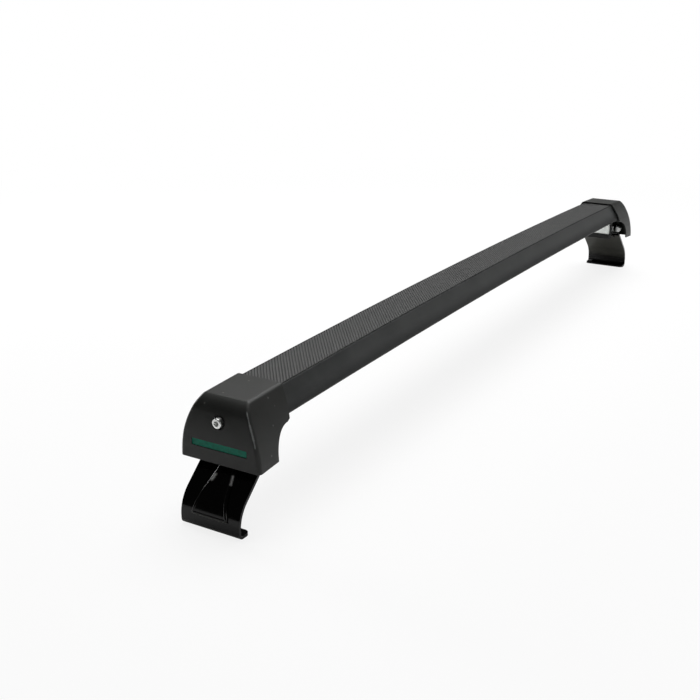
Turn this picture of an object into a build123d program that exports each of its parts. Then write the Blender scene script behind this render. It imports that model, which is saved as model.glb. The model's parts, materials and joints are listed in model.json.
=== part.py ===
"""Roof rack crossbar: an arched bar on two clamp feet whose hooks reach under a car's door frames."""
import os
from math import asin, cos, degrees, radians, sin, tan

from build123d import *

os.makedirs("parts", exist_ok=True)

# Driving dimensions in millimetres.
# X runs along the bar, Y across it and Z up; the hooks stand on Z = 0.
# Every piece of a foot is drawn for the right foot, at +X.

# Bar
crown_height = 133.5
arch_radius = 24460.0
bar_half_length = 537.0
bar_top_half = 25.6
bar_bottom_half = 39.0
bar_flank_bulge = 0.36
bar_height = 27.0
bar_wall = 2.0
bar_corner_wall = 3.2
bar_top_round = 0.8
bar_bottom_round = 2.5
channel_half = 24.7
channel_depth = 2.0

# Grip strip
strip_half = 24.0
strip_half_length = 524.0
strip_proud = 0.3
rib_angle = 37.5
rib_pitch = 5.1
groove_width = 1.6
groove_depth = 0.9
groove_lift = 1.0
groove_overrun = 1.2

# Foot cover
cover_wall = 2.2
end_wall = 2.6
crown_drop = 1.2
cover_base_half = 48.0
cover_top_half = 26.8
cover_base = 66.0
rim_top = (519.0, 131.2)
rim_tip = (528.0, 100.0)
leg_arch = (532.5, 70.0)
leg_arch_reach = 23.2
leg_arch_rise = 28.0
leg_bottom = 66.0
end_low = (587.0, 63.7)
end_turn = (587.0, 84.0)
end_lean = (583.6, 113.4)
crown_end = (566.0, 131.2)
roof_slope = 2.42
shoulder_round = 5.5
inner_shoulder_round = 2.0
end_edge_round = 4.0
ledge_x = (529.0, 535.0)
ledge_in = 31.0
ledge_width = 20.0
ledge_depth = 10.0
roof_rib_x = 560.0
roof_rib_length = 26.0

# Badge slot in the cover's end face
slot_half_length = 33.0
slot_low = 77.9
slot_high = 85.2
slot_depth = 1.5
slot_corner = 1.0
inlay_thickness = 0.8
inlay_gap = 0.1

# Clamp screw and barrel nut
screw_height = 107.0
screw_radius = 3.0
screw_head_radius = 5.4
screw_head_x = 583.1
screw_head_length = 6.0
screw_tip_x = 548.0
socket_across_flats = 5.0
socket_depth = 3.5
washer_face_x = 581.4
washer_thickness = 1.6
washer_radius = 6.5
spot_face_radius = 7.2
boss_radius = 9.0
screw_hole_radius = 3.4
nut_radius = 6.0
nut_half_length = 28.5
nut_thread_radius = 3.05
fastener_chamfer = 0.6

# Pivot of the hook clip
pivot_x = 560.0
pivot_height = 80.5
pivot_radius = 4.0
pivot_hole_radius = 4.06
pivot_washer_radius = 7.5
pivot_washer = 1.2
pivot_gap = 0.3
hexagon_across_flats = 12.0
bolt_head = 5.3
bolt_tail = 9.0
lock_nut = 6.0
lock_collar = 1.2
collar_radius = 5.4
thread_play = 0.05
washer_play = 0.2
arm_lean = 10.0

# Bracket
plate = 3.0
tongue_start = 486.0
tongue_half = 18.0
web_x = 540.0
bracket_half = 22.0
fold_radius = 4.0
base_end_x = 549.5
bridge_x = 574.5
bridge_low = 95.5
bridge_top = 115.5
cheek_top = 117.0
cheek_nose = (568.5, 77.5)
cheek_chin = (565.5, 74.0)
cheek_heel = (553.0, 73.5)
slot_play = 0.35

# Roof pad
pad_bottom = 63.5
pad_top = 71.5
pad_x = 538.0
pad_corner = 2.0

# Hook clip
clip_half = 35.2
clip_slope = 42.0
clip_top_x = 557.0
hook_centre = (569.0, 9.5)
hook_radius = 37.0
lip_bend_centre = (600.0, 6.0)
lip_bend_radius = 6.0
lip_tip_x = 588.5
lip_corner = 6.0
ear_inner = 22.5
ear_radius = 10.5
ear_pivot_radius = 9.0
ear_back_x = 537.3
ear_back_low = 70.0
ear_back_high = 95.5
ear_slot_length = 0.8
ear_slot_drop = 0.2
gusset_x = 566.0
panel_rise = 2.0
panel_edge = 1.6
panel_top_x = 566.0
panel_top_spare = 5.0
panel_low_angle = 9.0
panel_low_half = 22.5
panel_low_height = 15.0
panel_spread = 0.312

# Rivets
rivet_radius = 2.4
rivet_hole_radius = 2.45
rivet_head_radius = 4.6
rivet_head_height = 1.8
rivet_slope = (1.3, 1.6)
upset_radius = 3.6
upset_height = 1.6
rivet_rows = (498.0, 514.0)
rivet_seat = 0.002

# Extents of cuts that run right through a piece
cut_reach = 60.0
cut_depth = 30.0

# Sizes that follow from the ones above
arch_axis = Axis((0, 0, crown_height - arch_radius), (0, 1, 0))
arm = screw_height - pivot_height
nut_x = pivot_x - arm * tan(radians(arm_lean))
nut_travel = 2 * arm * tan(radians(arm_lean))
bridge_face_x = bridge_x + plate
ear_outer = ear_inner + plate
clip_line = radians(clip_slope)
hook_start = 90.0 - clip_slope
leg_x = leg_arch[0] + leg_arch_reach
section_x = rim_top[0] - cut_depth
roof_height = rim_top[1] + cut_depth * tan(radians(roof_slope))
section_plane = Plane(origin=(section_x, 0, 0), x_dir=(0, 1, 0),
                      z_dir=(cos(radians(roof_slope)), 0, -sin(radians(roof_slope))))


def arch_angle(x):
    """Angle from the crown, in degrees, of the bar's section at a distance x along the bar."""
    return degrees(asin(x / arch_radius))


def arch_height(x):
    """Height of the bar's top at x."""
    return crown_height - arch_radius * (1 - cos(radians(arch_angle(x))))


def arch_plane(x):
    """Plane of the bar's section at x: local X across the bar, local Y outward along the arch's radius."""
    lean = radians(arch_angle(x))
    return Plane(origin=(x, 0, arch_height(x)), x_dir=(0, 1, 0), z_dir=(cos(lean), 0, -sin(lean)))


def arch_place(x, y, rise, turn=0):
    """Place on the bar at x and y, rise above its top, with local Z along the arch's radius."""
    lean = radians(arch_angle(x))
    origin = (x + rise * sin(lean), y, arch_height(x) + rise * cos(lean))
    upright = Plane(origin=origin, x_dir=(cos(lean), 0, -sin(lean)), z_dir=(sin(lean), 0, cos(lean)))
    return Location(upright) * Location((0, 0, 0), (0, 0, turn))


def hook_point(angle, radius):
    """Point of the hook's round part at an angle above the X direction."""
    turn = radians(angle)
    return (hook_centre[0] + radius * cos(turn), hook_centre[1] + radius * sin(turn))


def plate_point(x, depth):
    """Point of the clip's straight plate: x along its outer face, then depth into the plate."""
    foot = hook_point(hook_start, hook_radius)
    face = (x, foot[1] + (foot[0] - x) * tan(clip_line))
    return (face[0] - depth * sin(clip_line), face[1] - depth * cos(clip_line))


def panel_depth(point):
    """Distance of a point outside the clip's outer face."""
    out = (point.X - hook_centre[0], point.Z - hook_centre[1])
    along = out[0] * cos(radians(hook_start)) + out[1] * sin(radians(hook_start))
    if out[1] > out[0] * tan(radians(hook_start)):
        return along - hook_radius
    return (out[0] ** 2 + out[1] ** 2) ** 0.5 - hook_radius


def cover_section(wall, shoulder):
    """Section of the cover a wall's thickness in: flanks that lean in to a roof with rounded shoulders."""
    base = (cover_base_half, cover_base)
    crown = (cover_top_half, roof_height)
    with BuildSketch(section_plane) as outline:
        with BuildLine():
            TangentArc(base, crown, tangent=(0, 1))
            TangentArc((-base[0], base[1]), (-crown[0], crown[1]), tangent=(0, 1))
            Line((-crown[0], crown[1]), crown)
            Polyline((-base[0], base[1]), (-base[0], 0), (base[0], 0), base)
        make_face()
        if wall > 0:
            offset(amount=-wall, kind=Kind.INTERSECTION, mode=Mode.REPLACE)
        fillet(outline.vertices().group_by(Axis.Y)[-1], shoulder)
    return outline.sketch


def end_profile(inset, drop):
    """Draws the cover's end line, moved in and down: upright, then leaning in, then round over to the roof."""
    low, turn, lean, crown = [(x - inset, z - drop) for x, z in (end_low, end_turn, end_lean, crown_end)]
    Line(low, turn)
    leaning = TangentArc(turn, lean, tangent=(0, 1))
    TangentArc(lean, crown, tangent=leaning % 1)
    return low, crown


def ear_outline(y):
    """Ear of the clip at y: hull of its nut lobe, its pivot lobe, its back edge and its foot, with both holes."""
    reach = arm / cos(radians(arm_lean)) - ear_slot_drop
    slot = (pivot_x - reach * sin(radians(arm_lean)), pivot_height + reach * cos(radians(arm_lean)))
    with BuildSketch(Plane.XZ.offset(-y)) as ear:
        with BuildLine():
            CenterArc((nut_x, screw_height), ear_radius, 0, 360)
            CenterArc((pivot_x, pivot_height), ear_pivot_radius, 0, 360)
            Line((ear_back_x, ear_back_low), (ear_back_x, ear_back_high))
            Line(plate_point(clip_top_x, plate / 2), plate_point(gusset_x, plate / 2))
        make_hull()
        with Locations((pivot_x, pivot_height)):
            Circle(pivot_hole_radius, mode=Mode.SUBTRACT)
        with Locations(slot):
            SlotCenterToCenter(ear_slot_length, 2 * (nut_radius + slot_play), rotation=90 + arm_lean,
                               mode=Mode.SUBTRACT)
    return ear.sketch


def save_pair(piece, name):
    """Save a foot's piece for the right foot, and turned half a turn about Z for the left foot."""
    for side, turn in (("right", 0), ("left", 180)):
        copy = piece.part.rotate(Axis.Z, turn)
        copy.label = name + "_" + side
        export_step(copy, "parts/" + name + "_" + side + ".step")


# Bar: one section turned about the arch's axis, hollow, with the strip's channel on top
with BuildPart() as crossbar:
    bulge = ((bar_top_half + bar_bottom_half) / 2 + bar_flank_bulge, -bar_height / 2)
    hollow_top = -channel_depth - bar_wall
    hollow_top_half = bar_top_half - bar_wall / 4
    hollow_low_half = bar_bottom_half - bar_corner_wall
    with BuildSketch(arch_plane(-bar_half_length)) as bar_section:
        with BuildLine():
            ThreePointArc((bar_top_half, 0), bulge, (bar_bottom_half, -bar_height))
            ThreePointArc((-bar_top_half, 0), (-bulge[0], bulge[1]), (-bar_bottom_half, -bar_height))
            Line((-bar_top_half, 0), (bar_top_half, 0))
            Line((-bar_bottom_half, -bar_height), (bar_bottom_half, -bar_height))
        make_face()
        fillet(bar_section.vertices().group_by(Axis.Y)[0], bar_bottom_round)
        fillet(bar_section.vertices().group_by(Axis.Y)[-1], bar_top_round)
        Rectangle(2 * channel_half, 2 * channel_depth, mode=Mode.SUBTRACT)
        with BuildLine():
            Polyline((-hollow_top_half, hollow_top), (hollow_top_half, hollow_top),
                     (hollow_low_half, bar_wall - bar_height), (-hollow_low_half, bar_wall - bar_height),
                     close=True)
        make_face(mode=Mode.SUBTRACT)
    revolve(axis=arch_axis, revolution_arc=2 * arch_angle(bar_half_length))
    with Locations(*[arch_place(side * x, 0, -bar_height) for side in (-1, 1) for x in rivet_rows]):
        Cylinder(rivet_hole_radius, 3 * bar_wall, mode=Mode.SUBTRACT)

crossbar.part.label = "crossbar"
export_step(crossbar.part, "parts/crossbar.step")

# Groove between two ribs of the grip strip, lying along local X with its mouth at local Z = 0
with BuildPart() as rib_groove:
    with BuildSketch(Plane.YZ):
        with BuildLine():
            Polyline((0, -groove_depth), (groove_width / 2, 0), (groove_width / 2, groove_lift),
                     (-groove_width / 2, groove_lift), (-groove_width / 2, 0), close=True)
        make_face()
    extrude(amount=groove_overrun * strip_half / sin(radians(rib_angle)), both=True)

# Grip strip: diagonal ribs all along, cut as grooves
with BuildPart() as grip_strip:
    with BuildSketch(arch_plane(-strip_half_length)):
        with Locations((0, (strip_proud - channel_depth) / 2)):
            Rectangle(2 * strip_half, channel_depth + strip_proud)
    revolve(axis=arch_axis, revolution_arc=2 * arch_angle(strip_half_length))
    groove_count = int((strip_half_length + strip_half / tan(radians(rib_angle))) / rib_pitch)
    with Locations(*[arch_place(step * rib_pitch, 0, strip_proud, rib_angle)
                     for step in range(-groove_count, groove_count + 1)]):
        add(rib_groove.part, mode=Mode.SUBTRACT)

grip_strip.part.label = "grip_strip"
export_step(grip_strip.part, "parts/grip_strip.step")

# Space inside the cover, less the screw boss, the roof ribs over the cheeks and the ledges under the bar
with BuildPart() as cover_space:
    with BuildSketch(Plane.XZ):
        with BuildLine():
            low, crown = end_profile(end_wall, crown_drop)
            Polyline(low, (low[0], 0), (section_x, 0), (section_x, roof_height), (crown[0], roof_height), crown)
        make_face()
    extrude(amount=cut_reach, both=True)
    extrude(cover_section(cover_wall, inner_shoulder_round), amount=2 * cut_reach, mode=Mode.INTERSECT)
    with BuildSketch(Plane.YZ.offset(bridge_face_x)):
        with Locations((0, screw_height)):
            Circle(boss_radius)
    extrude(amount=cut_depth, mode=Mode.SUBTRACT)
    with BuildSketch(Plane.XY.offset(cheek_top)):
        with Locations((roof_rib_x, bracket_half - plate / 2), (roof_rib_x, plate / 2 - bracket_half)):
            Rectangle(roof_rib_length, plate)
    extrude(amount=cut_depth, mode=Mode.SUBTRACT)
    ledge_top = arch_height(ledge_x[1]) - bar_height
    ledge_y = ledge_in + ledge_width / 2
    with BuildSketch(Plane.XY.offset(ledge_top)):
        with Locations((sum(ledge_x) / 2, ledge_y), (sum(ledge_x) / 2, -ledge_y)):
            Rectangle(ledge_x[1] - ledge_x[0], ledge_width)
    extrude(amount=-ledge_depth, mode=Mode.SUBTRACT)

# Foot cover: side outline crossed with the section, its end edge rounded, then hollowed
with BuildPart() as foot_cover:
    rim_lean = (rim_tip[0] - rim_top[0]) / (rim_top[1] - rim_tip[1])
    rim_high = (rim_top[0] - (roof_height - rim_top[1]) * rim_lean, roof_height)
    with BuildSketch(Plane.XZ):
        with BuildLine():
            end_profile(0, 0)
            Polyline(end_low, (leg_x, leg_bottom), (leg_x, leg_arch[1]))
            EllipticalCenterArc(leg_arch, leg_arch_reach, leg_arch_rise, start_angle=0, arc_size=90)
            Polyline((leg_arch[0], leg_arch[1] + leg_arch_rise), rim_tip, rim_high, (crown_end[0], roof_height),
                     crown_end)
        make_face()
    extrude(amount=cut_reach, both=True)
    extrude(cover_section(0, shoulder_round), amount=2 * cut_reach, mode=Mode.INTERSECT)
    end_edges = foot_cover.edges().filter_by(
        lambda edge: edge.center().X > crown_end[0] and edge.center().Z > leg_arch[1]
    )
    fillet(end_edges, end_edge_round)
    add(cover_space.part, mode=Mode.SUBTRACT)
    with BuildSketch(Plane.YZ.offset(washer_face_x)):
        with Locations((0, screw_height)):
            Circle(spot_face_radius)
    extrude(amount=cut_depth, mode=Mode.SUBTRACT)
    with BuildSketch(Plane.YZ.offset(bridge_face_x)):
        with Locations((0, screw_height)):
            Circle(screw_hole_radius)
    extrude(amount=cut_depth, mode=Mode.SUBTRACT)
    with BuildSketch(Plane.YZ.offset(end_low[0] - slot_depth)):
        with Locations((0, (slot_low + slot_high) / 2)):
            RectangleRounded(2 * slot_half_length, slot_high - slot_low, slot_corner)
    extrude(amount=cut_depth, mode=Mode.SUBTRACT)

save_pair(foot_cover, "foot_cover")

# Badge inlay on the floor of the slot
with BuildPart() as badge_inlay:
    with BuildSketch(Plane.YZ.offset(end_low[0] - slot_depth)):
        with Locations((0, (slot_low + slot_high) / 2)):
            RectangleRounded(2 * (slot_half_length - inlay_gap), slot_high - slot_low - 2 * inlay_gap,
                             slot_corner - inlay_gap)
    extrude(amount=inlay_thickness)

save_pair(badge_inlay, "badge_inlay")

# Foot bracket: a folded channel trimmed to its side outline, with a tongue, a base flange and the screw's bridge
with BuildPart() as foot_bracket:
    tongue_top = arch_height(web_x) - bar_height + bar_wall + plate
    channel_length = bridge_face_x - web_x
    with BuildSketch(Plane.XY.offset(pad_top)) as channel:
        with Locations((web_x + channel_length / 2, 0)):
            Rectangle(channel_length, 2 * bracket_half)
        fillet(channel.vertices().group_by(Axis.X)[0], fold_radius)
        with Locations((web_x + plate + channel_length / 2, 0)):
            Rectangle(channel_length, 2 * (bracket_half - plate), mode=Mode.SUBTRACT)
    extrude(amount=cheek_top - pad_top)
    with BuildSketch(Plane.XZ) as cheek:
        with BuildLine():
            Polyline((web_x, tongue_top), (web_x + fold_radius, tongue_top), (web_x + fold_radius, cheek_top),
                     (bridge_face_x, cheek_top), (bridge_face_x, bridge_low), cheek_nose, cheek_chin, cheek_heel,
                     (web_x + fold_radius, cheek_heel[1]), (web_x + fold_radius, pad_top), (web_x, pad_top),
                     close=True)
        make_face()
        fillet(cheek.vertices().sort_by_distance((web_x + fold_radius, cheek_top))[:1], plate)
        with Locations((pivot_x, pivot_height)):
            Circle(pivot_hole_radius, mode=Mode.SUBTRACT)
        with Locations((nut_x + nut_travel / 2, screw_height)):
            SlotCenterToCenter(nut_travel, 2 * (nut_radius + slot_play), mode=Mode.SUBTRACT)
    extrude(amount=cut_reach, both=True, mode=Mode.INTERSECT)
    with BuildSketch(Plane.XY.offset(pad_top)) as flange:
        with Locations(((web_x + base_end_x) / 2, 0)):
            Rectangle(base_end_x - web_x, 2 * bracket_half)
        fillet(flange.vertices().group_by(Axis.X)[0], fold_radius)
    extrude(amount=plate)
    with BuildSketch(Plane.YZ.offset(bridge_x)):
        with Locations((0, (bridge_low + bridge_top) / 2)):
            Rectangle(2 * bracket_half, bridge_top - bridge_low)
        with Locations((0, screw_height)):
            Circle(screw_hole_radius, mode=Mode.SUBTRACT)
    extrude(amount=plate)
    with BuildSketch(arch_plane(tongue_start)):
        with Locations((0, bar_wall + plate / 2 - bar_height)):
            Rectangle(2 * tongue_half, plate)
    revolve(axis=arch_axis, revolution_arc=arch_angle(web_x + plate / 2) - arch_angle(tongue_start))
    with Locations(*[arch_place(x, 0, bar_wall - bar_height) for x in rivet_rows]):
        Cylinder(rivet_hole_radius, 4 * plate, mode=Mode.SUBTRACT)

save_pair(foot_bracket, "foot_bracket")

# Roof pad under the base flange
with BuildPart() as roof_pad:
    with BuildSketch(Plane.XY.offset(pad_bottom)):
        with Locations(((pad_x + base_end_x) / 2, 0)):
            RectangleRounded(base_end_x - pad_x, 2 * bracket_half, pad_corner)
    extrude(amount=pad_top - pad_bottom)

save_pair(roof_pad, "roof_pad")

# Raised panel of the clip: a tapered doubler plate that follows its outer side, with sloping edges
with BuildPart() as clip_panel:
    start = plate_point(panel_top_x, 0)
    raised_start = plate_point(panel_top_x, -panel_rise)
    raised_radius = hook_radius + panel_rise
    sweep = hook_start - panel_low_angle
    with BuildSketch(Plane.XZ):
        with BuildLine():
            Line(start, hook_point(hook_start, hook_radius))
            CenterArc(hook_centre, hook_radius, panel_low_angle, sweep)
            Line(hook_point(panel_low_angle, hook_radius), hook_point(panel_low_angle, raised_radius))
            CenterArc(hook_centre, raised_radius, panel_low_angle, sweep)
            Line(raised_start, hook_point(hook_start, raised_radius))
            Line(start, raised_start)
        make_face()
    extrude(amount=clip_half, both=True)
    panel_top = start[1] + panel_top_spare
    panel_top_half = panel_low_half - (panel_top - panel_low_height) * panel_spread
    with BuildSketch(Plane.YZ.offset(pivot_x)):
        with BuildLine():
            Polyline((-panel_low_half, 0), (panel_low_half, 0), (panel_low_half, panel_low_height),
                     (panel_top_half, panel_top), (-panel_top_half, panel_top),
                     (-panel_low_half, panel_low_height), close=True)
        make_face()
    extrude(amount=cut_reach, mode=Mode.INTERSECT)
    rim = clip_panel.edges().filter_by(lambda edge: panel_depth(edge @ 0.5) > panel_rise - panel_edge / 8)
    chamfer(rim.filter_by(Axis.Y, reverse=True) + rim.filter_by(Axis.Y).sort_by(Axis.Z)[:1], panel_edge)

# Hook clip: pressed plate with a rounded hook and lip, and two ears for the pivot and the barrel nut
with BuildPart() as hook_clip:
    with BuildSketch(Plane.XZ):
        with BuildLine():
            inner_radius = hook_radius - plate
            inner_bend = lip_bend_radius - plate
            Line(plate_point(clip_top_x, 0), hook_point(hook_start, hook_radius))
            CenterArc(hook_centre, hook_radius, 0, hook_start)
            Line(hook_point(0, hook_radius), (lip_bend_centre[0] + lip_bend_radius, lip_bend_centre[1]))
            CenterArc(lip_bend_centre, lip_bend_radius, -90, 90)
            Line((lip_bend_centre[0], 0), (lip_tip_x, 0))
            Line((lip_tip_x, 0), (lip_tip_x, plate))
            Line((lip_tip_x, plate), (lip_bend_centre[0], plate))
            CenterArc(lip_bend_centre, inner_bend, -90, 90)
            Line((lip_bend_centre[0] + inner_bend, lip_bend_centre[1]), hook_point(0, inner_radius))
            CenterArc(hook_centre, inner_radius, 0, hook_start)
            Line(plate_point(clip_top_x, plate), hook_point(hook_start, inner_radius))
            Line(plate_point(clip_top_x, plate), plate_point(clip_top_x, 0))
        make_face()
    extrude(amount=clip_half, both=True)
    lip_corners = hook_clip.edges().filter_by(Axis.Z).sort_by(Axis.X)[:2]
    fillet(lip_corners, lip_corner)
    for side in (-1, 1):
        extrude(ear_outline(side * (ear_inner + plate / 2)), amount=plate / 2, both=True)
    add(clip_panel.part)

save_pair(hook_clip, "hook_clip")

# Pivot bolt: hexagon head at +Y, plain shank through both ears and cheeks
with BuildPart() as pivot_bolt:
    seat = ear_outer + pivot_gap + pivot_washer
    with BuildSketch(Plane.XZ.offset(-seat)):
        with Locations((pivot_x, pivot_height)):
            RegularPolygon(hexagon_across_flats / 2, 6, major_radius=False)
    extrude(amount=-bolt_head)
    with BuildSketch(Plane.XZ.offset(-seat)):
        with Locations((pivot_x, pivot_height)):
            Circle(pivot_radius)
    extrude(amount=2 * seat + bolt_tail)
    chamfer(pivot_bolt.edges().group_by(Axis.Y)[0], fastener_chamfer)

save_pair(pivot_bolt, "pivot_bolt")

# Lock nut on the pivot bolt
with BuildPart() as pivot_nut:
    with BuildSketch(Plane.XZ.offset(seat)):
        with Locations((pivot_x, pivot_height)):
            RegularPolygon(hexagon_across_flats / 2, 6, major_radius=False)
            Circle(pivot_radius + thread_play, mode=Mode.SUBTRACT)
    extrude(amount=lock_nut)
    with BuildSketch(Plane.XZ.offset(seat + lock_nut)):
        with Locations((pivot_x, pivot_height)):
            Circle(collar_radius)
            Circle(pivot_radius + thread_play, mode=Mode.SUBTRACT)
    extrude(amount=lock_collar)

save_pair(pivot_nut, "pivot_nut")

# Washers between the ears and the bolt's head and nut
with BuildPart() as pivot_washers:
    with BuildSketch(Plane.XZ.offset(-seat)):
        with Locations((pivot_x, pivot_height)):
            Circle(pivot_washer_radius)
            Circle(pivot_radius + washer_play, mode=Mode.SUBTRACT)
    extrude(amount=pivot_washer)
    mirror(about=Plane.XZ)

save_pair(pivot_washers, "pivot_washers")

# Tension screw: socket head in the cover's end face, shank through the bridge into the barrel nut
with BuildPart() as tension_screw:
    with BuildSketch(Plane.YZ.offset(screw_head_x)):
        with Locations((0, screw_height)):
            Circle(screw_head_radius)
    extrude(amount=screw_head_length)
    chamfer(tension_screw.edges().group_by(Axis.X)[-1], fastener_chamfer)
    with BuildSketch(Plane.YZ.offset(screw_tip_x)):
        with Locations((0, screw_height)):
            Circle(screw_radius)
    extrude(amount=screw_head_x - screw_tip_x)
    chamfer(tension_screw.edges().group_by(Axis.X)[0], fastener_chamfer)
    with BuildSketch(Plane.YZ.offset(screw_head_x + screw_head_length)):
        with Locations((0, screw_height)):
            RegularPolygon(socket_across_flats / 2, 6, major_radius=False)
    extrude(amount=-socket_depth, mode=Mode.SUBTRACT)

save_pair(tension_screw, "tension_screw")

# Washer under the screw's head
with BuildPart() as screw_washer:
    with BuildSketch(Plane.YZ.offset(washer_face_x)):
        with Locations((0, screw_height)):
            Circle(washer_radius)
            Circle(screw_hole_radius, mode=Mode.SUBTRACT)
    extrude(amount=washer_thickness)

save_pair(screw_washer, "screw_washer")

# Barrel nut across both ears, tapped along X
with BuildPart() as barrel_nut:
    with BuildSketch(Plane.XZ):
        with Locations((nut_x, screw_height)):
            Circle(nut_radius)
    extrude(amount=nut_half_length, both=True)
    chamfer(barrel_nut.edges().filter_by(GeomType.CIRCLE), fastener_chamfer)
    with BuildSketch(Plane.YZ.offset(nut_x - 2 * nut_radius)):
        with Locations((0, screw_height)):
            Circle(nut_thread_radius)
    extrude(amount=4 * nut_radius, mode=Mode.SUBTRACT)

save_pair(barrel_nut, "barrel_nut")

# One rivet standing on local Z = 0, the bar's underside: domed head below, shank, upset head above the tongue
with BuildPart() as rivet:
    grip = bar_wall + plate + 2 * rivet_seat
    with BuildSketch(Plane.XY):
        Circle(rivet_head_radius)
    extrude(amount=-rivet_head_height)
    chamfer(rivet.edges().group_by(Axis.Z)[0], *rivet_slope)
    with BuildSketch(Plane.XY):
        Circle(rivet_radius)
    extrude(amount=grip)
    with BuildSketch(Plane.XY.offset(grip)):
        Circle(upset_radius)
    extrude(amount=upset_height)

# Two rivets of a foot
with BuildPart() as bracket_rivets:
    with Locations(*[arch_place(x, 0, -bar_height - rivet_seat) for x in rivet_rows]):
        add(rivet.part)

save_pair(bracket_rivets, "bracket_rivets")
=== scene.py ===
"""Roof rack crossbar: finishes, small fittings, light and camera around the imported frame."""
import json
from math import cos, radians, sin

import bpy
import numpy as np
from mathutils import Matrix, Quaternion, Vector


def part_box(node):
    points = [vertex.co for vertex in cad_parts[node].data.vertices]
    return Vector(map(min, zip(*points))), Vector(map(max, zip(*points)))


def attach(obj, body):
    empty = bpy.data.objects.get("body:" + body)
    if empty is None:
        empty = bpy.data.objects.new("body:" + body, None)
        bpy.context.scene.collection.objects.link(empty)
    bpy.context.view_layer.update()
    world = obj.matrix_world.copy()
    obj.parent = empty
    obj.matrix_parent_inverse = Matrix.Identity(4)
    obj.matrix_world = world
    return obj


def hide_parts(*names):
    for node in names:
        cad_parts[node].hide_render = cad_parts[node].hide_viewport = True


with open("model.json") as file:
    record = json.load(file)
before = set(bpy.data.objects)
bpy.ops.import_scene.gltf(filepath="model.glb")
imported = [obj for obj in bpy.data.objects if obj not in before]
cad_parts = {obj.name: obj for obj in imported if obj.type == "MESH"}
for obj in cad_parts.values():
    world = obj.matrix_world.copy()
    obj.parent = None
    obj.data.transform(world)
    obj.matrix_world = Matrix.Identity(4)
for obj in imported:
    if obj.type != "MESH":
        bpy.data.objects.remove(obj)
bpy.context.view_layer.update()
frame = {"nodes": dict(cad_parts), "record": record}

MM = 0.001
OUTWARD = np.array([1.0, 0.0, 0.0])
ACROSS = np.array([0.0, -1.0, 0.0])
UP = np.array([0.0, 0.0, 1.0])
# Places on a foot are given for the right one; the left one is the same, turned half a turn about the vertical
FOOT_TURN = {"right": np.array([1.0, 1.0, 1.0]), "left": np.array([-1.0, -1.0, 1.0])}


# Node helpers
def feed(tree, value, socket):
    """Gives a socket its value: links it to another socket, or sets a plain number, vector or colour."""
    if isinstance(value, bpy.types.NodeSocket):
        tree.links.new(value, socket)
    else:
        socket.default_value = value


def node(tree, kind, inputs, **settings):
    """Adds a node with its settings, and feeds its inputs, picked by name or by number."""
    made = tree.nodes.new(kind)
    for name, value in settings.items():
        setattr(made, name, value)
    for key, value in inputs.items():
        feed(tree, value, made.inputs[key])
    return made


def number(tree, operation, *values, **settings):
    """Number worked out from other numbers."""
    return node(tree, "ShaderNodeMath", dict(enumerate(values)), operation=operation, **settings).outputs["Value"]


def vector(tree, operation, *values):
    """Outputs of a sum on vectors: Vector or Value, as the operation gives it."""
    return node(tree, "ShaderNodeVectorMath", dict(enumerate(values)), operation=operation).outputs


def soft_step(tree, value, start, end, low=0.0, high=1.0):
    """Number eased from low, where the value is at start, to high, where it is at end."""
    limits = {"Value": value, "From Min": start, "From Max": end, "To Min": low, "To Max": high}
    return node(tree, "ShaderNodeMapRange", limits, interpolation_type="SMOOTHSTEP").outputs["Result"]


def mix(tree, kind, share, low, high):
    """Mix of two colours (RGBA) or two numbers (FLOAT) by a share."""
    return node(tree, "ShaderNodeMix", {"Factor": share, "A": low, "B": high}, data_type=kind).outputs["Result"]


def object_place(tree):
    """Place on the part, in object coordinates."""
    return node(tree, "ShaderNodeTexCoord", {}).outputs["Object"]


def split(tree, place):
    """X, Y and Z of a vector."""
    return node(tree, "ShaderNodeSeparateXYZ", {"Vector": place}).outputs


def grey(level):
    """Grey of a level, as a colour socket's value."""
    return level, level, level, 1.0


def new_group(name, inputs, outputs):
    """Shader node group, with the sockets that bring its inputs in and take its outputs out; inputs are names with
    their first values, a number or a vector, and outputs are the names of masks and heights."""
    tree = bpy.data.node_groups.new(name, "ShaderNodeTree")
    for label, value in inputs.items():
        kind = "NodeSocketVector" if isinstance(value, tuple) else "NodeSocketFloat"
        tree.interface.new_socket(name=label, in_out="INPUT", socket_type=kind).default_value = value
    for label in outputs:
        tree.interface.new_socket(name=label, in_out="OUTPUT", socket_type="NodeSocketFloat")
    return tree, tree.nodes.new("NodeGroupInput").outputs, tree.nodes.new("NodeGroupOutput").inputs


# Effects that the finishes share
ARCH_RADIUS = 24.46
CLOUD_RANGE = (0.32, 0.68)
SCUFF_DRAW = (1.0, 24.0, 24.0)
UNDERSIDE_NORMAL = (-0.05, -0.45)
RAGGED_SCALE = 900.0


def moulded_grain():
    """Grain group: fine noise in object space gives a height, and slow noise, spread wider, gives a tone mask."""
    tree, given, out = new_group("moulded_grain", {"Scale": 1500.0, "Cloud": 25.0}, ["Height", "Tone"])
    place = object_place(tree)
    fine = node(tree, "ShaderNodeTexNoise",
                {"Vector": place, "Scale": given["Scale"], "Detail": 3.0, "Roughness": 0.6})
    slow = node(tree, "ShaderNodeTexNoise",
                {"Vector": place, "Scale": given["Cloud"], "Detail": 4.0, "Roughness": 0.55})
    spread = node(tree, "ShaderNodeMapRange",
                  {"Value": slow.outputs["Fac"], "From Min": CLOUD_RANGE[0], "From Max": CLOUD_RANGE[1]})
    feed(tree, fine.outputs["Fac"], out["Height"])
    feed(tree, spread.outputs["Result"], out["Tone"])
    return tree


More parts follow.
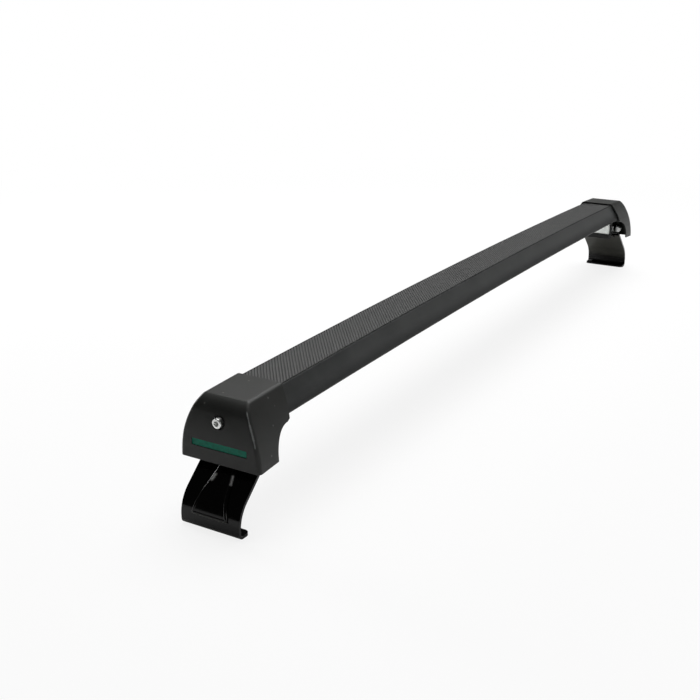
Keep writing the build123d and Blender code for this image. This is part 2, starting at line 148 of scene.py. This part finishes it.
def dust_specks():
    """Specks group: the middles of a share of the cells of a cell pattern in object space, as a soft mask."""
    tree, given, out = new_group("dust_specks", {"Scale": 60.0, "Size": 0.06, "Share": 0.2}, ["Mask"])
    cells = node(tree, "ShaderNodeTexVoronoi", {"Vector": object_place(tree), "Scale": given["Scale"]})
    spot = soft_step(tree, cells.outputs["Distance"], given["Size"], 0.0)
    chance = node(tree, "ShaderNodeSeparateColor", {"Color": cells.outputs["Color"]})
    chosen = number(tree, "LESS_THAN", chance.outputs["Red"], given["Share"])
    feed(tree, number(tree, "MULTIPLY", spot, chosen), out["Mask"])
    return tree


def long_scuffs():
    """Scuffs group: noise drawn out along X in object space, cut off so that only its peaks show."""
    tree, given, out = new_group("long_scuffs", {"Scale": 10.0, "Start": 0.62, "End": 0.8}, ["Mask"])
    drawn = node(tree, "ShaderNodeMapping", {"Vector": object_place(tree), "Scale": SCUFF_DRAW})
    noise = node(tree, "ShaderNodeTexNoise",
                 {"Vector": drawn.outputs["Vector"], "Scale": given["Scale"], "Detail": 5.0, "Roughness": 0.65})
    feed(tree, soft_step(tree, noise.outputs["Fac"], given["Start"], given["End"]), out["Mask"])
    return tree


def underside():
    """Underside group: soft mask of the surfaces that face down, from Z of the object-space normal."""
    tree, _, out = new_group("underside", {}, ["Mask"])
    facing = node(tree, "ShaderNodeTexCoord", {}).outputs["Normal"]
    feed(tree, soft_step(tree, split(tree, facing)["Z"], *UNDERSIDE_NORMAL), out["Mask"])
    return tree


def painted_highlight_streak():
    """Streak group for painted highlights: soft mask of what lies within a radius of a line between two points in
    object space, with noise added to the distance for a ragged edge. The nearest point is start + share * line,
    where share is dot(place - start, line) / dot(line, line), kept between 0 and 1."""
    first = {"Start": (0.0, 0.0, 0.0), "End": (0.0, 0.0, 0.01), "Radius": 0.003, "Ragged": 0.0015}
    tree, given, out = new_group("painted_highlight_streak", first, ["Mask"])
    place = object_place(tree)
    line = vector(tree, "SUBTRACT", given["End"], given["Start"])["Vector"]
    arm = vector(tree, "SUBTRACT", place, given["Start"])["Vector"]
    reach = vector(tree, "DOT_PRODUCT", arm, line)["Value"]
    whole = vector(tree, "DOT_PRODUCT", line, line)["Value"]
    share = number(tree, "DIVIDE", reach, whole, use_clamp=True)
    nearest = vector(tree, "MULTIPLY", line, share)["Vector"]
    away = vector(tree, "DISTANCE", arm, nearest)["Value"]
    noise = node(tree, "ShaderNodeTexNoise", {"Vector": place, "Scale": RAGGED_SCALE, "Detail": 2.0})
    ragged = number(tree, "MULTIPLY_ADD", noise.outputs["Fac"], given["Ragged"], away)
    feed(tree, soft_step(tree, ragged, given["Radius"], 0.0), out["Mask"])
    return tree


def arch_band():
    """Band group: soft mask of a height measured along the arch, z + x * x / (2 * arch radius)."""
    tree, given, out = new_group("arch_band", {"From": 0.0, "To": 1.0}, ["Mask"])
    parts = split(tree, object_place(tree))
    square = number(tree, "MULTIPLY", parts["X"], parts["X"])
    height = number(tree, "MULTIPLY_ADD", square, 0.5 / ARCH_RADIUS, parts["Z"])
    feed(tree, soft_step(tree, height, given["From"], given["To"]), out["Mask"])
    return tree


def seam_band():
    """Seam group: soft mask of the distance from the bar's middle plane, which is y without its sign."""
    tree, given, out = new_group("seam_band", {"From": 0.0, "To": 1.0}, ["Mask"])
    aside = number(tree, "ABSOLUTE", split(tree, object_place(tree))["Y"])
    feed(tree, soft_step(tree, aside, given["From"], given["To"]), out["Mask"])
    return tree


GRAIN = moulded_grain()
SPECKS = dust_specks()
SCUFFS = long_scuffs()
UNDERSIDE = underside()
PAINTED_HIGHLIGHT = painted_highlight_streak()
ARCH_BAND = arch_band()
SEAM_BAND = seam_band()


# Finishes
def layer(group, colour, rough, **values):
    """Layer over a finish: the colour and roughness that show where a group's mask picks."""
    return group, values, colour, rough


def finish(name, low, high, rough, grain, cloud, bump, bump_depth, layers=(), **shader):
    """Material whose colour and roughness drift between two values with the slow cloud, under a fine bumped grain;
    then each layer covers what its mask picks. Other names are the shader's own sockets."""
    made = bpy.data.materials.new(name)
    made.use_nodes = True
    tree = made.node_tree
    skin = tree.nodes["Principled BSDF"].inputs
    for label, value in shader.items():
        skin[label.replace("_", " ")].default_value = value
    texture = node(tree, "ShaderNodeGroup", {"Scale": grain, "Cloud": cloud}, node_tree=GRAIN).outputs
    shown = mix(tree, "RGBA", texture["Tone"], (*low, 1.0), (*high, 1.0))
    drift = {"Value": texture["Tone"], "To Min": rough[0], "To Max": rough[1]}
    gloss = node(tree, "ShaderNodeMapRange", drift).outputs["Result"]
    for group, values, colour, layer_rough in layers:
        mask = node(tree, "ShaderNodeGroup", values, node_tree=group).outputs["Mask"]
        shown = mix(tree, "RGBA", mask, shown, (*colour, 1.0))
        gloss = mix(tree, "FLOAT", mask, gloss, layer_rough)
    relief = node(tree, "ShaderNodeBump", {"Strength": bump, "Distance": bump_depth, "Height": texture["Height"]})
    feed(tree, shown, skin["Base Color"])
    feed(tree, gloss, skin["Roughness"])
    feed(tree, relief.outputs["Normal"], skin["Normal"])
    return made


# Painted highlight: a pale, ragged line along the edge of the cover between its end face and one flank, on both
# feet
HIGHLIGHT_EDGE = np.array([(0.5797, 0.0296, 0.1222), (0.5836, 0.0353, 0.1113), (0.5855, 0.0408, 0.0975),
                        (0.5862, 0.0428, 0.0905)])
HIGHLIGHT_EDGE_RADII = (0.0014, 0.0019, 0.0014)
HIGHLIGHT_EDGE_RAGGED = 0.0008
HIGHLIGHT_EDGE_COLOUR = (0.42, 0.44, 0.44)
HIGHLIGHT_EDGE_ROUGH = 0.5
HIGHLIGHT_EDGE_LAYERS = [
    layer(PAINTED_HIGHLIGHT, HIGHLIGHT_EDGE_COLOUR, HIGHLIGHT_EDGE_ROUGH,
          Start=tuple(start), End=tuple(end), Radius=reach, Ragged=HIGHLIGHT_EDGE_RAGGED)
    for foot in FOOT_TURN.values()
    for start, end, reach in zip(HIGHLIGHT_EDGE * foot, HIGHLIGHT_EDGE[1:] * foot, HIGHLIGHT_EDGE_RADII)
]

BAR_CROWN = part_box("crossbar")[1].z
STRIP_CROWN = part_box("grip_strip")[1].z
STRIP_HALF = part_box("grip_strip")[1].y
# The cover gets scuffs and dust specks, and the painted edge highlight
COVER_LAYERS = [
    layer(SCUFFS, (0.040, 0.041, 0.039), 0.55, Scale=14.0),
    layer(SPECKS, (0.15, 0.15, 0.14), 0.6, Scale=84.0, Size=0.14, Share=0.5),
    *HIGHLIGHT_EDGE_LAYERS,
]
# Painted shade: the bar is painted darker towards its low edge, darker still on the rounding, and darkest in the
# seam beside the strip, where shade falls
BAR_LAYERS = [
    layer(SCUFFS, (0.050, 0.052, 0.051), 0.6, Scale=9.0),
    layer(ARCH_BAND, (0.013, 0.014, 0.014), 0.6, From=BAR_CROWN - 0.0100, To=BAR_CROWN - 0.0250),
    layer(ARCH_BAND, (0.010, 0.011, 0.011), 0.75, From=BAR_CROWN - 0.0230, To=BAR_CROWN - 0.0267),
    layer(SEAM_BAND, (0.004, 0.004, 0.004), 0.8, From=STRIP_HALF + 0.0018, To=STRIP_HALF + 0.0012),
]
# Painted shade: the strip is painted darker in its grooves and along its two long edges, where shade falls; its
# pale specks are dust
STRIP_LAYERS = [
    layer(SPECKS, (0.11, 0.11, 0.11), 0.8, Scale=70.0, Size=0.1, Share=0.15),
    layer(ARCH_BAND, (0.022, 0.022, 0.022), 0.8, From=STRIP_CROWN - 0.0001, To=STRIP_CROWN - 0.0010),
    layer(SEAM_BAND, (0.010, 0.010, 0.010), 0.8, From=STRIP_HALF - 0.0014, To=STRIP_HALF - 0.0002),
]
# On the clip, the faces that look down are painted a lighter grey, a painted reflection of the floor below, and
# are made duller
CLIP_LAYERS = [
    layer(UNDERSIDE, (0.104, 0.104, 0.092), 0.55),
    # Painted highlights: two pale marks on creases of the left clip
    layer(PAINTED_HIGHLIGHT, (0.95, 0.95, 0.92), 0.5,
          Start=(-0.5828, 0.0089, 0.0497), End=(-0.5868, 0.0101, 0.0462), Radius=0.0036),
    layer(PAINTED_HIGHLIGHT, (0.80, 0.80, 0.78), 0.5,
          Start=(-0.5808, -0.0108, 0.0514), End=(-0.5868, -0.0125, 0.0457), Radius=0.0030),
]
FINISHES = {
    "bar_coat": dict(
        low=(0.032, 0.035, 0.034), high=(0.058, 0.061, 0.060), rough=(0.38, 0.46),
        grain=1800.0, cloud=16.0, bump=0.25, bump_depth=0.0001, layers=BAR_LAYERS),
    "strip_rubber": dict(
        low=(0.050, 0.051, 0.050), high=(0.064, 0.065, 0.064), rough=(0.55, 0.7),
        grain=1400.0, cloud=18.0, bump=0.3, bump_depth=0.0001, layers=STRIP_LAYERS),
    "cover_plastic": dict(
        low=(0.026, 0.027, 0.025), high=(0.034, 0.035, 0.033), rough=(0.40, 0.48),
        grain=1600.0, cloud=20.0, bump=0.3, bump_depth=0.00012, layers=COVER_LAYERS, Specular_IOR_Level=0.3),
    "badge_green": dict(
        low=(0.006, 0.21, 0.13), high=(0.010, 0.31, 0.20), rough=(0.32, 0.42),
        grain=600.0, cloud=220.0, bump=0.05, bump_depth=0.0001, Specular_IOR_Level=0.2),
    "zinc_plate": dict(
        low=(0.70, 0.73, 0.70), high=(0.82, 0.84, 0.81), rough=(0.28, 0.42),
        grain=700.0, cloud=60.0, bump=0.1, bump_depth=0.0001, Metallic=1.0),
    "bright_fastener": dict(
        low=(0.68, 0.69, 0.68), high=(0.82, 0.83, 0.81), rough=(0.24, 0.36),
        grain=900.0, cloud=120.0, bump=0.1, bump_depth=0.00005, Metallic=1.0),
    "pad_rubber": dict(
        low=(0.012, 0.012, 0.012), high=(0.018, 0.018, 0.018), rough=(0.6, 0.75),
        grain=1200.0, cloud=40.0, bump=0.3, bump_depth=0.0001),
    "gloss_black_steel": dict(
        low=(0.0012, 0.0012, 0.0012), high=(0.002, 0.002, 0.002), rough=(0.08, 0.13),
        grain=500.0, cloud=30.0, bump=0.02, bump_depth=0.0001, layers=CLIP_LAYERS, Specular_IOR_Level=0.28),
}
MATERIALS = {name: finish(name, **values) for name, values in FINISHES.items()}

for entry in frame["record"]["subparts"]:
    skin = frame["nodes"][entry["node"]].data.materials
    skin.clear()
    skin.append(MATERIALS[entry["material_slot"]])


# Fasteners: sizes in mm, from the right foot's nodes where the frame gives them
def size_of(name):
    """Lowest and highest corner of a CAD node, in mm."""
    return [np.array(corner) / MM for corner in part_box(name)]


TURNS = 72
TURN = np.linspace(0.0, 2.0 * np.pi, TURNS, endpoint=False)
SHARP_ANGLE = 32.0
EDGE_BREAK = 0.6
THREAD_SLOPE = 2.4
THREAD_CREST = 0.1

JOINT_AT = {joint["name"]: joint.get("pos_m") for joint in frame["record"]["behaviour"]["joints"]}
PIVOT = np.array(JOINT_AT["clip_swing_right"]) / MM
BOLT_LOW, BOLT_HIGH = size_of("pivot_bolt_right")
NUT_LOW, NUT_HIGH = size_of("pivot_nut_right")
PIVOT_SEAT = -NUT_HIGH[1]
PIVOT_FLAT = (NUT_HIGH[2] - NUT_LOW[2]) / 2
PIVOT_RADIUS = 4.0
PIVOT_PITCH = 1.25
PIVOT_THREAD = 0.5
BOLT_HEAD = BOLT_HIGH[1] - PIVOT_SEAT
BOLT_TAIL = -BOLT_LOW[1] - PIVOT_SEAT
BOLT_THREAD_ROWS = 130
BOLT_TIP_INSET = 0.9
HEX_FACE_INSET = 0.5
CHAMFER_INSET = 0.4
CHAMFER_HEIGHT = 0.8
CHAMFER_SPREAD = 1.5
CHAMFER_ROWS = 6
NUT_COLLAR = 1.2
NUT_HEIGHT = NUT_HIGH[1] - NUT_LOW[1] - NUT_COLLAR
COLLAR_RADIUS = 5.4
COLLAR_ROUND = [(0.4, 0.0), (0.1, 0.3), (0.0, 0.6)]
BORE_PLAY = 0.05

SCREW_LOW, SCREW_HIGH = size_of("tension_screw_right")
SCREW_AXIS = (SCREW_LOW[2] + SCREW_HIGH[2]) / 2
SCREW_RADIUS = 3.0
SCREW_PITCH = 1.0
SCREW_THREAD = 0.45
SCREW_THREAD_ROWS = 200
SCREW_TIP_INSET = 0.7
SCREW_NECK = 6.0
NECK_INSET = 0.1
NECK_EASE = 0.5
SCREW_HEAD = 6.0
HEAD_RADIUS = (SCREW_HIGH[2] - SCREW_LOW[2]) / 2
HEAD_ROUND = [(1.0, 0.05), (0.6, 0.15), (0.2, 0.45), (0.0, 0.9)]
KNURLS = 24
KNURL_DEPTH = 0.22
KNURL_LOW = 0.5
KNURL_HIGH = 1.2
SOCKET_FLAT = 2.5
SOCKET_DEPTH = 3.5
SOCKET_MOUTH = 0.25
SOCKET_CONE = 0.8


def surface(name, rows, ends, body, slot, replaced=None):
    """Mesh of a grid of points, rows by turns, closed round each row; ends is "poles" when the first and last
    rows are single points, or "loop" when the last row joins the first."""
    count, turns = rows.shape[:2]
    if ends == "poles":
        points = np.vstack([rows[0, :1], rows[1:-1].reshape(-1, 3), rows[-1, :1]])
        ring = np.arange(turns)
        index = 1 + np.arange(count - 2)[:, None] * turns + ring
        bands = count - 3
        last = len(points) - 1
        fans = np.vstack([
            np.column_stack([np.zeros_like(ring), np.roll(index[0], -1), index[0]]),
            np.column_stack([index[-1], np.roll(index[-1], -1), np.full_like(ring, last)]),
        ]).tolist()
    else:
        points = rows.reshape(-1, 3)
        index = np.arange(count)[:, None] * turns + np.arange(turns)
        bands = count
        fans = []
    here = index[:bands]
    there = np.roll(index, -1, axis=0)[:bands]
    quads = np.stack([here, np.roll(here, -1, axis=1), np.roll(there, -1, axis=1), there], axis=-1)
    mesh = bpy.data.meshes.new(name)
    mesh.from_pydata(points.tolist(), [], fans + quads.reshape(-1, 4).tolist())
    mesh.shade_smooth()
    mesh.set_sharp_from_angle(angle=radians(SHARP_ANGLE))
    mesh.materials.append(MATERIALS[slot])
    piece = bpy.data.objects.new(name, mesh)
    bpy.context.scene.collection.objects.link(piece)
    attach(piece, body)
    if replaced:
        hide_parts(replaced)


def turned(start, axis, upright, along, radius):
    """Points round an axis: start + along * axis + radius * (cos t * upright + sin t * axis x upright)."""
    spoke = np.cos(TURN)[:, None] * upright + np.sin(TURN)[:, None] * np.cross(axis, upright)
    return start + along[:, None, None] * axis + radius[:, :, None] * spoke


def hexagon(flat):
    """Radius round a hexagon with a flat at angle 0: flat / cos of the angle from the nearest flat's middle."""
    return flat / np.cos((TURN + np.pi / 6) % (np.pi / 3) - np.pi / 6)


def thread(radius, depth, pitch, along):
    """Radius of a screw thread: crest radius less depth times a clipped triangle wave of along / pitch - turn."""
    phase = (along[:, None] / pitch - np.arange(TURNS) / TURNS) % 1.0
    return radius - depth * np.clip(THREAD_SLOPE * np.abs(phase - 0.5) - THREAD_CREST, 0.0, 1.0)


def round_rows(*pairs):
    """Stations and plain round radii of a list of (along, radius) pairs."""
    along, radius = np.array(pairs).T
    return along, np.repeat(radius[:, None], TURNS, axis=1)


def rounding(top, radius, steps):
    """Pairs (along, radius) of a rounded top edge, from its steps (down from the top, in from the radius)."""
    return [(top - drop, radius - inset) for drop, inset in steps]


def stack_rows(*parts):
    """Joins (along, radius) parts end to end."""
    return np.concatenate([part[0] for part in parts]), np.vstack([part[1] for part in parts])


def hex_chamfer():
    """Rows over a hexagon's end: the smaller of the hexagon's radius and that of a cone which starts inside the
    flats."""
    slope = np.linspace(0.0, 1.0, CHAMFER_ROWS)
    cone = PIVOT_FLAT - CHAMFER_INSET + slope[:, None] * CHAMFER_SPREAD
    return slope * CHAMFER_HEIGHT, np.minimum(hexagon(PIVOT_FLAT), cone)


def pivot_bolt_rows():
    """Bolt along its axis from the head's top: chamfered hexagon head, plain shank and threaded tail."""
    length = BOLT_HEAD + 2 * PIVOT_SEAT + BOLT_TAIL
    plain = length - 2 * BOLT_TAIL
    tail = np.linspace(plain + EDGE_BREAK, length - EDGE_BREAK, BOLT_THREAD_ROWS)
    return stack_rows(
        round_rows((0.0, 0.0), (0.0, PIVOT_FLAT - HEX_FACE_INSET)),
        hex_chamfer(),
        (np.array([BOLT_HEAD]), hexagon(PIVOT_FLAT)[None]),
        round_rows((BOLT_HEAD, PIVOT_RADIUS), (plain, PIVOT_RADIUS)),
        (tail, thread(PIVOT_RADIUS, PIVOT_THREAD, PIVOT_PITCH, tail)),
        round_rows((length, PIVOT_RADIUS - BOLT_TIP_INSET), (length, 0.0)),
    )


def pivot_nut_rows():
    """Lock nut from its seat outward: hexagon chamfered at both ends, round collar, then back down its bore."""
    along, radius = hex_chamfer()
    bore = PIVOT_RADIUS + BORE_PLAY
    top = NUT_HEIGHT + NUT_COLLAR
    return stack_rows(
        round_rows((0.0, bore), (0.0, PIVOT_FLAT - HEX_FACE_INSET)),
        (along, radius),
        (NUT_HEIGHT - along[::-1], radius[::-1]),
        round_rows((NUT_HEIGHT, COLLAR_RADIUS), *rounding(top, COLLAR_RADIUS, COLLAR_ROUND), (top, bore)),
    )


def tension_screw_rows():
    """Screw from its tip: threaded shank, knurled head (a cosine wave round it) with a rounded edge, and a hexagon
    socket in its end with a cone at its bottom."""
    knurl = HEAD_RADIUS - KNURL_DEPTH * (0.5 - 0.5 * np.cos(KNURLS * TURN))
    socket = hexagon(SOCKET_FLAT)
    top = SCREW_HIGH[0] - SCREW_LOW[0]
    under = top - SCREW_HEAD
    neck = SCREW_RADIUS - NECK_INSET
    shank = np.linspace(EDGE_BREAK, under - SCREW_NECK, SCREW_THREAD_ROWS)
    return stack_rows(
        round_rows((0.0, 0.0), (0.0, SCREW_RADIUS - SCREW_TIP_INSET)),
        (shank, thread(SCREW_RADIUS, SCREW_THREAD, SCREW_PITCH, shank)),
        round_rows((under - SCREW_NECK + NECK_EASE, neck), (under, neck), (under, HEAD_RADIUS - EDGE_BREAK)),
        (np.array([under + KNURL_LOW, top - KNURL_HIGH]), np.vstack([knurl, knurl])),
        round_rows(*rounding(top, HEAD_RADIUS, HEAD_ROUND)),
        (np.array([top, top - SOCKET_MOUTH, top - SOCKET_DEPTH]),
         np.vstack([socket + SOCKET_MOUTH, socket, socket])),
        round_rows((top - SOCKET_DEPTH - SOCKET_CONE, 0.0)),
    )


# Bead round the panel that is raised on the hook clip's outer side, which is a straight plate above an arc; in mm
HOOK_CENTRE = np.array([569.0, 9.5])
HOOK_RADIUS = 37.0
HOOK_START = radians(48.0)
PANEL_RISE = 2.0
PANEL_LOW_ANGLE = radians(9.0)
PANEL_LOW_HALF = 22.5
PANEL_LOW_HEIGHT = 15.0
PANEL_SPREAD = 0.312
PANEL_LENGTH = 55.0
BEAD_RADIUS = 2.2
BEAD_DEPTH = 1.85
BEAD_STEP = 0.5
BEAD_CORNER = 9
BEAD_TURNS = 24
BEAD_END_ROWS = 6


def panel_side(run, lift):
    """Point (x, z) and normal of the panel's side view at a length run up from its low edge, lift off the plate:
    an arc about the hook's centre up to the hook's start, then the straight line tangent to it."""
    radius = HOOK_RADIUS + lift
    angle = np.minimum(PANEL_LOW_ANGLE + run / radius, HOOK_START)
    normal = np.column_stack([np.cos(angle), np.sin(angle)])
    tangent = np.column_stack([-np.sin(angle), np.cos(angle)])
    straight = np.maximum(run - radius * (HOOK_START - PANEL_LOW_ANGLE), 0.0)
    return HOOK_CENTRE + radius * normal + straight[:, None] * tangent, normal


def panel_bead_rows():
    """Tube round the panel's rim: a circle carried down one side, along the low edge and up the other side, on a
    path inside the rim by the same depth everywhere. A running mean rounds the path's corners, and a half ball
    closes each end."""
    lift = PANEL_RISE - BEAD_DEPTH
    climb = np.arange(BEAD_DEPTH, PANEL_LENGTH, BEAD_STEP)
    place, _ = panel_side(climb, lift)
    inset = BEAD_DEPTH * np.hypot(1.0, PANEL_SPREAD)
    half = PANEL_LOW_HALF - PANEL_SPREAD * (place[:, 1] - PANEL_LOW_HEIGHT) - inset
    cross = np.arange(-half[0], half[0], BEAD_STEP)
    run = np.concatenate([climb[::-1], np.full_like(cross, BEAD_DEPTH), climb])
    aside = np.concatenate([-half[::-1], cross, half])
    mean = np.ones(BEAD_CORNER) / BEAD_CORNER
    run, aside = np.convolve(run, mean, "valid"), np.convolve(aside, mean, "valid")
    place, normal = panel_side(run, lift)
    centre = np.column_stack([place[:, 0], aside, place[:, 1]])
    out = np.column_stack([normal[:, 0], np.zeros_like(aside), normal[:, 1]])
    ahead = np.gradient(centre, axis=0)
    ahead /= np.linalg.norm(ahead, axis=1, keepdims=True)
    ball = np.sin(np.linspace(-np.pi / 2, 0.0, BEAD_END_ROWS, endpoint=False))
    shift = np.concatenate([ball, np.zeros(len(centre)), -ball[::-1]]) * BEAD_RADIUS
    pick = np.clip(np.arange(len(shift)) - len(ball), 0, len(centre) - 1)
    size = np.sqrt(np.maximum(BEAD_RADIUS ** 2 - shift ** 2, 0.0))
    turn = np.linspace(0.0, 2.0 * np.pi, BEAD_TURNS, endpoint=False)[:, None]
    spoke = np.cos(turn) * out[pick][:, None] + np.sin(turn) * np.cross(ahead, out)[pick][:, None]
    return centre[pick][:, None] + shift[:, None, None] * ahead[pick][:, None] + size[:, None, None] * spoke


for side, foot in FOOT_TURN.items():
    across, outward, pivot = ACROSS * foot, OUTWARD * foot, PIVOT * foot
    head_top = pivot - (PIVOT_SEAT + BOLT_HEAD) * across
    seat = pivot + PIVOT_SEAT * across
    tip = SCREW_LOW[0] * outward + SCREW_AXIS * UP
    surface("pivot_bolt_shown_" + side, MM * turned(head_top, across, outward, *pivot_bolt_rows()), "poles",
            "frame", "bright_fastener", "pivot_bolt_" + side)
    surface("pivot_nut_shown_" + side, MM * turned(seat, across, outward, *pivot_nut_rows()), "loop",
            "frame", "bright_fastener", "pivot_nut_" + side)
    surface("tension_screw_shown_" + side, MM * turned(tip, outward, UP, *tension_screw_rows()), "poles",
            "screw_" + side, "bright_fastener", "tension_screw_" + side)
    surface("panel_bead_" + side, MM * panel_bead_rows() * foot, "poles", "clip_" + side, "gloss_black_steel")


# Floor, world and light
FLOOR_REACH = 200.0
FLOOR_HEIGHT = -0.0002
FLOOR_CORNERS = [(-1, -1), (1, -1), (1, 1), (-1, 1)]
FLOOR_WHITE = 0.95
FLOOR_BOUNCE = 0.35
SHADOW_RADIUS = (0.9, 1.8)
EYE_SHADOW = 0.16
GLOSS_SHARE = 0.1
BACKDROP_RISE = (0.03, 0.18)
BACKDROP_TURN = (-0.2, 0.3)
STUDIO_GREY = 0.03
LAMPS = {
    "top_box": dict(at=(0.75, 0.25, 2.4), toward=(0.1, 0.0, 0.0), size=2.4, power=78.0),
    "near_fill": dict(at=(-1.6, -2.0, 0.7), toward=(-0.3, 0.0, 0.1), size=0.6, power=5.0),
    "back_box": dict(at=(-0.02, 2.07, 0.74), toward=(-0.58, 0.0, 0.05), size=0.5, power=12.0),
}


def seen_rays(tree):
    """Two masks of rays: those from the camera, and those in gloss or through glass."""
    path = node(tree, "ShaderNodeLightPath", {}).outputs
    return path["Is Camera Ray"], number(tree, "MAXIMUM", path["Is Glossy Ray"], path["Is Transmission Ray"])


def studio_floor():
    """Square floor, pale to the camera and to gloss and greyer to the light that it throws back. To the camera it
    is mostly plain white, and keeps a share of its true shade around the hooks, for the shadow."""
    corners = [(FLOOR_REACH * x, FLOOR_REACH * y, FLOOR_HEIGHT) for x, y in FLOOR_CORNERS]
    mesh = bpy.data.meshes.new("studio_floor")
    mesh.from_pydata(corners, [], [(0, 1, 2, 3)])
    floor = bpy.data.objects.new("studio_floor", mesh)
    bpy.context.scene.collection.objects.link(floor)
    paint = bpy.data.materials.new("floor_white")
    paint.use_nodes = True
    tree = paint.node_tree
    tree.nodes.remove(tree.nodes["Principled BSDF"])
    camera_ray, gloss_ray = seen_rays(tree)
    seen = number(tree, "MAXIMUM", camera_ray, gloss_ray)
    tint = mix(tree, "RGBA", seen, grey(FLOOR_BOUNCE), grey(FLOOR_WHITE))
    shade = node(tree, "ShaderNodeBsdfDiffuse", {"Color": tint})
    white = node(tree, "ShaderNodeEmission", {"Color": grey(1.0), "Strength": 1.0})
    far = vector(tree, "LENGTH", object_place(tree))["Value"]
    plain = soft_step(tree, far, *SHADOW_RADIUS, low=1.0 - EYE_SHADOW)
    shine = number(tree, "MULTIPLY", gloss_ray, GLOSS_SHARE)
    whiten = number(tree, "MULTIPLY_ADD", camera_ray, plain, shine)
    blend = node(tree, "ShaderNodeMixShader", {0: whiten, 1: shade.outputs["BSDF"], 2: white.outputs["Emission"]})
    feed(tree, blend.outputs["Shader"], tree.nodes["Material Output"].inputs["Surface"])
    mesh.materials.append(paint)


def studio_world():
    """World that is white to the camera; gloss and glass see a low white backdrop behind the far end, and all else
    is dim grey."""
    world = bpy.data.worlds.new("studio")
    bpy.context.scene.world = world
    world.use_nodes = True
    tree = world.node_tree
    toward = split(tree, node(tree, "ShaderNodeTexCoord", {}).outputs["Generated"])
    low = soft_step(tree, toward["Z"], *BACKDROP_RISE, low=1.0, high=0.0)
    behind = soft_step(tree, toward["X"], *BACKDROP_TURN)
    camera_ray, gloss_ray = seen_rays(tree)
    backdrop = number(tree, "MULTIPLY", gloss_ray, number(tree, "MULTIPLY", low, behind))
    seen = number(tree, "MAXIMUM", camera_ray, backdrop)
    colour = mix(tree, "RGBA", seen, grey(STUDIO_GREY), grey(1.0))
    feed(tree, colour, tree.nodes["Background"].inputs["Color"])


def soft_box(name, at, toward, size, power):
    """Square area lamp at a place, turned to a target."""
    lamp = bpy.data.lights.new(name, "AREA")
    lamp.shape = "SQUARE"
    lamp.size = size
    lamp.energy = power
    made = bpy.data.objects.new(name, lamp)
    made.location = at
    made.rotation_euler = (Vector(toward) - Vector(at)).to_track_quat("-Z", "Y").to_euler()
    bpy.context.scene.collection.objects.link(made)


studio_floor()
studio_world()
for name, values in LAMPS.items():
    soft_box(name, **values)

# Camera
CAMERA_AT = (-1.2878, -0.5708, 0.4912)
CAMERA_HEADING = radians(31.18)
CAMERA_DIP = radians(19.17)
CAMERA_ROLL = radians(-0.157)
LENS = 52.86
SENSOR = 36.0

scene = bpy.context.scene
scene.view_settings.view_transform = "Standard"
camera = bpy.data.cameras.new("camera")
camera.sensor_width = SENSOR
camera.lens = LENS
eye = bpy.data.objects.new("camera", camera)
gaze = Vector((cos(CAMERA_DIP) * cos(CAMERA_HEADING), cos(CAMERA_DIP) * sin(CAMERA_HEADING), -sin(CAMERA_DIP)))
eye.location = CAMERA_AT
eye.rotation_euler = (gaze.to_track_quat("-Z", "Y") @ Quaternion((0, 0, 1), CAMERA_ROLL)).to_euler()
scene.collection.objects.link(eye)
scene.camera = eye
